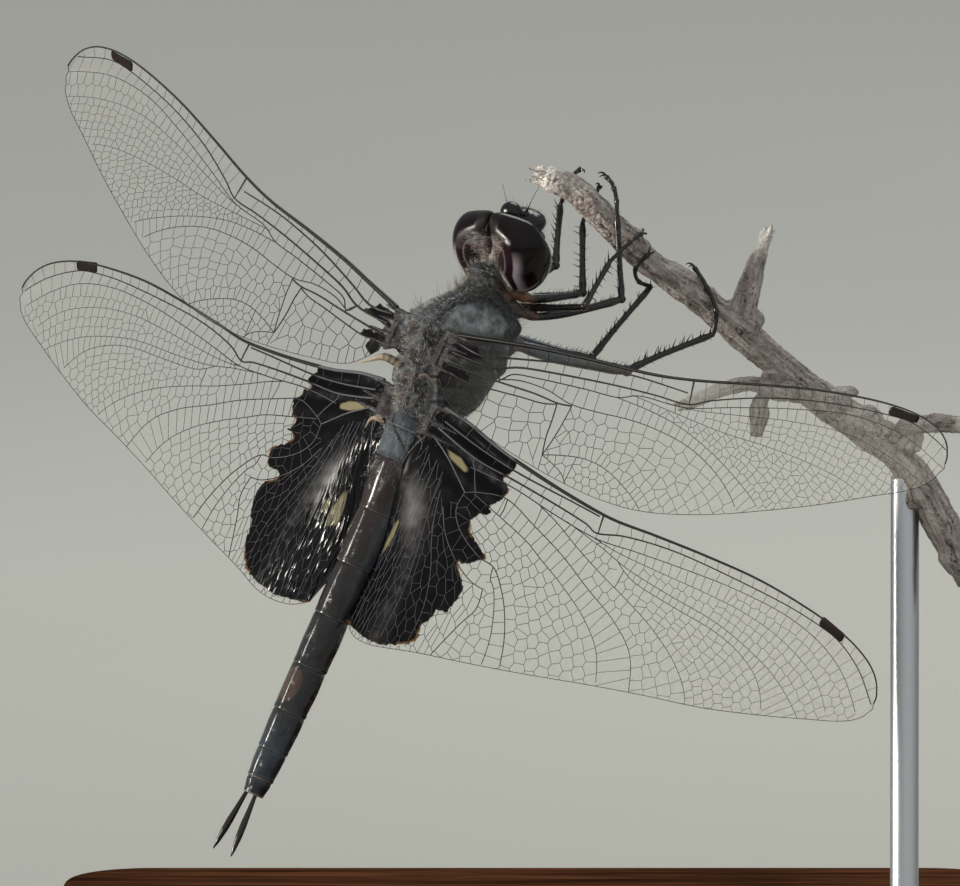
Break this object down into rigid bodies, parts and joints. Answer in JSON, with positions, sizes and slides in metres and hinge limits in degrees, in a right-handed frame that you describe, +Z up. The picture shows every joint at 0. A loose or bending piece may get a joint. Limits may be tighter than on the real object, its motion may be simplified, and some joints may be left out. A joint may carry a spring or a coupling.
{
  "type": "dragonfly model",
  "caption": "Life-size still model of a dark-patched glider dragonfly gripping a broken twig, wings spread, held on a wooden base by one thin steel rod.",
  "frame": {"origin": "middle of the base's underside, on the floor", "axes": "+Z up; -Y is the front, where the insect's right side and back show; +X runs along the base from the hanging abdomen towards the rod and the twig's thick end"},
  "size_m": [0.0776, 0.0654, 0.069],
  "materials": {
    "thorax": "slate blue-grey body wall with short pale hairs",
    "abdomen": "glossy black-brown shell",
    "limb": "black shell, satin",
    "wing": "clear membrane with dark veins and black patches",
    "head": "dark brown-black head shell",
    "eye": "polished maroon-black eye",
    "bark": "rough weathered grey-brown bark",
    "base": "oiled walnut",
    "rod": "brushed"
  },
  "bodies": {
    "root": {"thorax": "thorax", "prothorax": "thorax", "abdomen_1": "abdomen", "abdomen_2": "abdomen", "abdomen_3": "abdomen", "abdomen_4": "abdomen", "abdomen_5": "abdomen", "abdomen_6": "abdomen", "abdomen_7": "abdomen", "abdomen_8": "abdomen", "abdomen_9": "abdomen", "abdomen_10": "abdomen", "cercus_left": "limb", "cercus_right": "limb", "forewing_left": "wing", "forewing_right": "wing", "hindwing_left": "wing", "hindwing_right": "wing", "head": "head", "eye_left": "eye", "eye_right": "eye", "antenna_left": "limb", "antenna_right": "limb", "femur_fore_left": "limb", "tibia_fore_left": "limb", "tarsus_fore_left": "limb", "femur_fore_right": "limb", "tibia_fore_right": "limb", "tarsus_fore_right": "limb", "femur_middle_left": "limb", "tibia_middle_left": "limb", "tarsus_middle_left": "limb", "femur_middle_right": "limb", "tibia_middle_right": "limb", "tarsus_middle_right": "limb", "femur_hind_left": "limb", "tibia_hind_left": "limb", "tarsus_hind_left": "limb", "femur_hind_right": "limb", "tibia_hind_right": "limb", "tarsus_hind_right": "limb", "perch_twig": "bark", "perch_stub": "bark", "perch_splinter": "bark", "perch_bud": "bark", "perch_side": "bark", "stand_base": "base", "stand_rod": "rod"}
  },
  "joints": []
}
